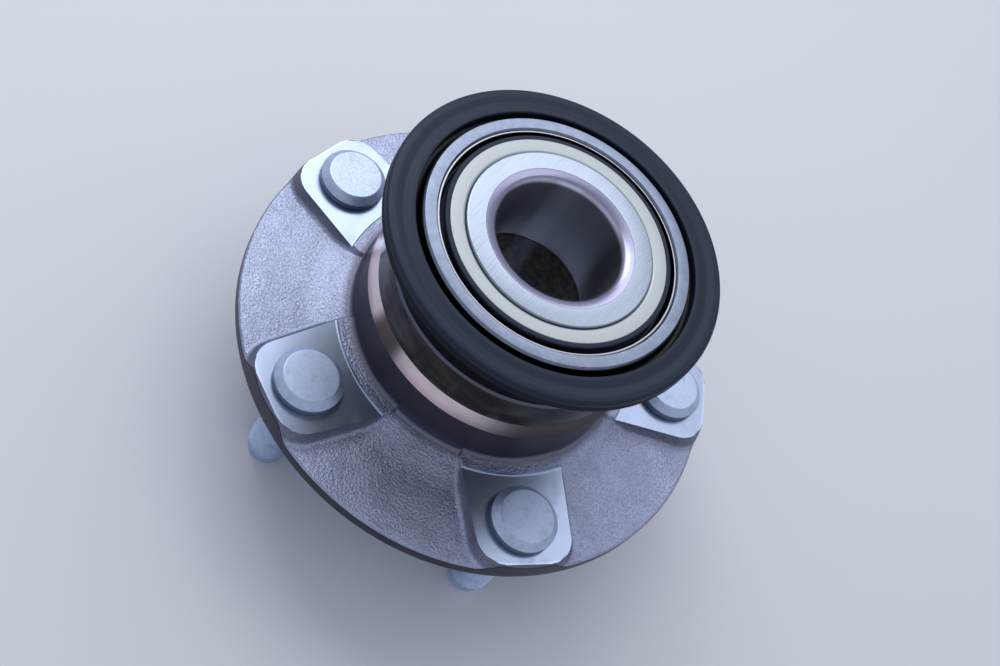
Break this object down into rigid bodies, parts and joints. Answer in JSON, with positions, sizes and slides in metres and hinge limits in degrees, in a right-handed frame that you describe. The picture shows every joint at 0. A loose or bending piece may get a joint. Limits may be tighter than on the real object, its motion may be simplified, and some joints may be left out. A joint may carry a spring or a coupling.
{
  "type": "wheel hub bearing",
  "caption": "Wheel hub bearing: a studded flange forged with the outer ring turns on rows of balls over split inner rings, with a magnetic encoder ring on the barrel.",
  "frame": {"origin": "centre of the stud circle, on the spindle axis, at the flange face that the wheel seats on", "axes": "+Z along the spindle axis, inboard towards the car; one wheel stud stands on +Y"},
  "size_m": [0.1392, 0.1392, 0.0927],
  "materials": {
    "forged_steel": "forged and shot-blasted, with turned and ground faces",
    "stud_steel": "zinc plated, matt silver",
    "bearing_steel": "hardened and finely ground",
    "ball_steel": "polished",
    "seal_steel": "pressed sheet, dull bright",
    "slinger_coat": "pressed sheet with a pale grey-green coating, matt",
    "encoder_rubber": "moulded magnetic rubber, matt charcoal",
    "seal_rubber": "moulded, matt dark grey",
    "cage_polymer": "moulded polyamide"
  },
  "bodies": {
    "inner_rings": {"inner_ring_inboard": "bearing_steel", "inner_ring_outboard": "bearing_steel", "inboard_slinger": "slinger_coat", "inboard_dust_lip": "seal_rubber", "outboard_slinger": "slinger_coat", "outboard_dust_lip": "seal_rubber"},
    "hub": {"hub_flange": "forged_steel", "wheel_stud_1": "stud_steel", "wheel_stud_2": "stud_steel", "wheel_stud_3": "stud_steel", "wheel_stud_4": "stud_steel", "wheel_stud_5": "stud_steel", "encoder_carrier": "seal_steel", "encoder_magnet": "encoder_rubber", "inboard_seal_case": "seal_steel", "inboard_seal_lip": "seal_rubber", "outboard_seal_case": "seal_steel", "outboard_seal_lip": "seal_rubber"},
    "inboard_ball_cage": {"cage_inboard": "cage_polymer"},
    "outboard_ball_cage": {"cage_outboard": "cage_polymer"},
    "inboard_ball_1": {"ball_inboard_1": "ball_steel"},
    "inboard_ball_2": {"ball_inboard_2": "ball_steel"},
    "inboard_ball_3": {"ball_inboard_3": "ball_steel"},
    "inboard_ball_4": {"ball_inboard_4": "ball_steel"},
    "inboard_ball_5": {"ball_inboard_5": "ball_steel"},
    "inboard_ball_6": {"ball_inboard_6": "ball_steel"},
    "inboard_ball_7": {"ball_inboard_7": "ball_steel"},
    "inboard_ball_8": {"ball_inboard_8": "ball_steel"},
    "inboard_ball_9": {"ball_inboard_9": "ball_steel"},
    "inboard_ball_10": {"ball_inboard_10": "ball_steel"},
    "inboard_ball_11": {"ball_inboard_11": "ball_steel"},
    "inboard_ball_12": {"ball_inboard_12": "ball_steel"},
    "inboard_ball_13": {"ball_inboard_13": "ball_steel"},
    "outboard_ball_1": {"ball_outboard_1": "ball_steel"},
    "outboard_ball_2": {"ball_outboard_2": "ball_steel"},
    "outboard_ball_3": {"ball_outboard_3": "ball_steel"},
    "outboard_ball_4": {"ball_outboard_4": "ball_steel"},
    "outboard_ball_5": {"ball_outboard_5": "ball_steel"},
    "outboard_ball_6": {"ball_outboard_6": "ball_steel"},
    "outboard_ball_7": {"ball_outboard_7": "ball_steel"},
    "outboard_ball_8": {"ball_outboard_8": "ball_steel"},
    "outboard_ball_9": {"ball_outboard_9": "ball_steel"},
    "outboard_ball_10": {"ball_outboard_10": "ball_steel"},
    "outboard_ball_11": {"ball_outboard_11": "ball_steel"},
    "outboard_ball_12": {"ball_outboard_12": "ball_steel"},
    "outboard_ball_13": {"ball_outboard_13": "ball_steel"}
  },
  "joints": [
    {"name": "hub_spin", "type": "hinge", "parent": "inner_rings", "child": "hub", "pos_m": [0, 0, 0.0322], "axis": [0, 0, 1], "continuous": true},
    {"name": "inboard_cage_spin", "type": "hinge", "parent": "inner_rings", "child": "inboard_ball_cage", "pos_m": [0, 0, 0.0438], "axis": [0, 0, 1], "continuous": true},
    {"name": "inboard_ball_1_roll", "type": "hinge", "parent": "inboard_ball_cage", "child": "inboard_ball_1", "pos_m": [0.02426, 0.01273, 0.0438], "axis": [0.5451, 0.2861, 0.788], "continuous": true},
    {"name": "inboard_ball_2_roll", "type": "hinge", "parent": "inboard_ball_cage", "child": "inboard_ball_2", "pos_m": [0.01557, 0.02255, 0.0438], "axis": [0.3497, 0.5067, 0.788], "continuous": true},
    {"name": "inboard_ball_3_roll", "type": "hinge", "parent": "inboard_ball_cage", "child": "inboard_ball_3", "pos_m": [0.0033, 0.0272, 0.0438], "axis": [0.0742, 0.6112, 0.788], "continuous": true},
    {"name": "inboard_ball_4_roll", "type": "hinge", "parent": "inboard_ball_cage", "child": "inboard_ball_4", "pos_m": [-0.00972, 0.02562, 0.0438], "axis": [-0.2183, 0.5757, 0.788], "continuous": true},
    {"name": "inboard_ball_5_roll", "type": "hinge", "parent": "inboard_ball_cage", "child": "inboard_ball_5", "pos_m": [-0.02051, 0.01817, 0.0438], "axis": [-0.4608, 0.4083, 0.788], "continuous": true},
    {"name": "inboard_ball_6_roll", "type": "hinge", "parent": "inboard_ball_cage", "child": "inboard_ball_6", "pos_m": [-0.0266, 0.00656, 0.0438], "axis": [-0.5978, 0.1473, 0.788], "continuous": true},
    {"name": "inboard_ball_7_roll", "type": "hinge", "parent": "inboard_ball_cage", "child": "inboard_ball_7", "pos_m": [-0.0266, -0.00656, 0.0438], "axis": [-0.5978, -0.1473, 0.788], "continuous": true},
    {"name": "inboard_ball_8_roll", "type": "hinge", "parent": "inboard_ball_cage", "child": "inboard_ball_8", "pos_m": [-0.02051, -0.01817, 0.0438], "axis": [-0.4608, -0.4083, 0.788], "continuous": true},
    {"name": "inboard_ball_9_roll", "type": "hinge", "parent": "inboard_ball_cage", "child": "inboard_ball_9", "pos_m": [-0.00972, -0.02562, 0.0438], "axis": [-0.2183, -0.5757, 0.788], "continuous": true},
    {"name": "inboard_ball_10_roll", "type": "hinge", "parent": "inboard_ball_cage", "child": "inboard_ball_10", "pos_m": [0.0033, -0.0272, 0.0438], "axis": [0.0742, -0.6112, 0.788], "continuous": true},
    {"name": "inboard_ball_11_roll", "type": "hinge", "parent": "inboard_ball_cage", "child": "inboard_ball_11", "pos_m": [0.01557, -0.02255, 0.0438], "axis": [0.3497, -0.5067, 0.788], "continuous": true},
    {"name": "inboard_ball_12_roll", "type": "hinge", "parent": "inboard_ball_cage", "child": "inboard_ball_12", "pos_m": [0.02426, -0.01273, 0.0438], "axis": [0.5451, -0.2861, 0.788], "continuous": true},
    {"name": "inboard_ball_13_roll", "type": "hinge", "parent": "inboard_ball_cage", "child": "inboard_ball_13", "pos_m": [0.0274, 0, 0.0438], "axis": [0.6157, 0, 0.788], "continuous": true},
    {"name": "outboard_cage_spin", "type": "hinge", "parent": "inner_rings", "child": "outboard_ball_cage", "pos_m": [0, 0, 0.0206], "axis": [0, 0, 1], "continuous": true},
    {"name": "outboard_ball_1_roll", "type": "hinge", "parent": "outboard_ball_cage", "child": "outboard_ball_1", "pos_m": [0.02426, 0.01273, 0.0206], "axis": [-0.5451, -0.2861, 0.788], "continuous": true},
    {"name": "outboard_ball_2_roll", "type": "hinge", "parent": "outboard_ball_cage", "child": "outboard_ball_2", "pos_m": [0.01557, 0.02255, 0.0206], "axis": [-0.3497, -0.5067, 0.788], "continuous": true},
    {"name": "outboard_ball_3_roll", "type": "hinge", "parent": "outboard_ball_cage", "child": "outboard_ball_3", "pos_m": [0.0033, 0.0272, 0.0206], "axis": [-0.0742, -0.6112, 0.788], "continuous": true},
    {"name": "outboard_ball_4_roll", "type": "hinge", "parent": "outboard_ball_cage", "child": "outboard_ball_4", "pos_m": [-0.00972, 0.02562, 0.0206], "axis": [0.2183, -0.5757, 0.788], "continuous": true},
    {"name": "outboard_ball_5_roll", "type": "hinge", "parent": "outboard_ball_cage", "child": "outboard_ball_5", "pos_m": [-0.02051, 0.01817, 0.0206], "axis": [0.4608, -0.4083, 0.788], "continuous": true},
    {"name": "outboard_ball_6_roll", "type": "hinge", "parent": "outboard_ball_cage", "child": "outboard_ball_6", "pos_m": [-0.0266, 0.00656, 0.0206], "axis": [0.5978, -0.1473, 0.788], "continuous": true},
    {"name": "outboard_ball_7_roll", "type": "hinge", "parent": "outboard_ball_cage", "child": "outboard_ball_7", "pos_m": [-0.0266, -0.00656, 0.0206], "axis": [0.5978, 0.1473, 0.788], "continuous": true},
    {"name": "outboard_ball_8_roll", "type": "hinge", "parent": "outboard_ball_cage", "child": "outboard_ball_8", "pos_m": [-0.02051, -0.01817, 0.0206], "axis": [0.4608, 0.4083, 0.788], "continuous": true},
    {"name": "outboard_ball_9_roll", "type": "hinge", "parent": "outboard_ball_cage", "child": "outboard_ball_9", "pos_m": [-0.00972, -0.02562, 0.0206], "axis": [0.2183, 0.5757, 0.788], "continuous": true},
    {"name": "outboard_ball_10_roll", "type": "hinge", "parent": "outboard_ball_cage", "child": "outboard_ball_10", "pos_m": [0.0033, -0.0272, 0.0206], "axis": [-0.0742, 0.6112, 0.788], "continuous": true},
    {"name": "outboard_ball_11_roll", "type": "hinge", "parent": "outboard_ball_cage", "child": "outboard_ball_11", "pos_m": [0.01557, -0.02255, 0.0206], "axis": [-0.3497, 0.5067, 0.788], "continuous": true},
    {"name": "outboard_ball_12_roll", "type": "hinge", "parent": "outboard_ball_cage", "child": "outboard_ball_12", "pos_m": [0.02426, -0.01273, 0.0206], "axis": [-0.5451, 0.2861, 0.788], "continuous": true},
    {"name": "outboard_ball_13_roll", "type": "hinge", "parent": "outboard_ball_cage", "child": "outboard_ball_13", "pos_m": [0.0274, 0, 0.0206], "axis": [-0.6157, 0, 0.788], "continuous": true}
  ],
  "couplings": [
    {"joint": "inboard_cage_spin", "follows": "hub_spin", "ratio": 0.5799},
    {"joint": "inboard_ball_1_roll", "follows": "hub_spin", "ratio": 2.4027},
    {"joint": "inboard_ball_2_roll", "follows": "hub_spin", "ratio": 2.4027},
    {"joint": "inboard_ball_3_roll", "follows": "hub_spin", "ratio": 2.4027},
    {"joint": "inboard_ball_4_roll", "follows": "hub_spin", "ratio": 2.4027},
    {"joint": "inboard_ball_5_roll", "follows": "hub_spin", "ratio": 2.4027},
    {"joint": "inboard_ball_6_roll", "follows": "hub_spin", "ratio": 2.4027},
    {"joint": "inboard_ball_7_roll", "follows": "hub_spin", "ratio": 2.4027},
    {"joint": "inboard_ball_8_roll", "follows": "hub_spin", "ratio": 2.4027},
    {"joint": "inboard_ball_9_roll", "follows": "hub_spin", "ratio": 2.4027},
    {"joint": "inboard_ball_10_roll", "follows": "hub_spin", "ratio": 2.4027},
    {"joint": "inboard_ball_11_roll", "follows": "hub_spin", "ratio": 2.4027},
    {"joint": "inboard_ball_12_roll", "follows": "hub_spin", "ratio": 2.4027},
    {"joint": "inboard_ball_13_roll", "follows": "hub_spin", "ratio": 2.4027},
    {"joint": "outboard_cage_spin", "follows": "hub_spin", "ratio": 0.5799},
    {"joint": "outboard_ball_1_roll", "follows": "hub_spin", "ratio": 2.4027},
    {"joint": "outboard_ball_2_roll", "follows": "hub_spin", "ratio": 2.4027},
    {"joint": "outboard_ball_3_roll", "follows": "hub_spin", "ratio": 2.4027},
    {"joint": "outboard_ball_4_roll", "follows": "hub_spin", "ratio": 2.4027},
    {"joint": "outboard_ball_5_roll", "follows": "hub_spin", "ratio": 2.4027},
    {"joint": "outboard_ball_6_roll", "follows": "hub_spin", "ratio": 2.4027},
    {"joint": "outboard_ball_7_roll", "follows": "hub_spin", "ratio": 2.4027},
    {"joint": "outboard_ball_8_roll", "follows": "hub_spin", "ratio": 2.4027},
    {"joint": "outboard_ball_9_roll", "follows": "hub_spin", "ratio": 2.4027},
    {"joint": "outboard_ball_10_roll", "follows": "hub_spin", "ratio": 2.4027},
    {"joint": "outboard_ball_11_roll", "follows": "hub_spin", "ratio": 2.4027},
    {"joint": "outboard_ball_12_roll", "follows": "hub_spin", "ratio": 2.4027},
    {"joint": "outboard_ball_13_roll", "follows": "hub_spin", "ratio": 2.4027}
  ]
}
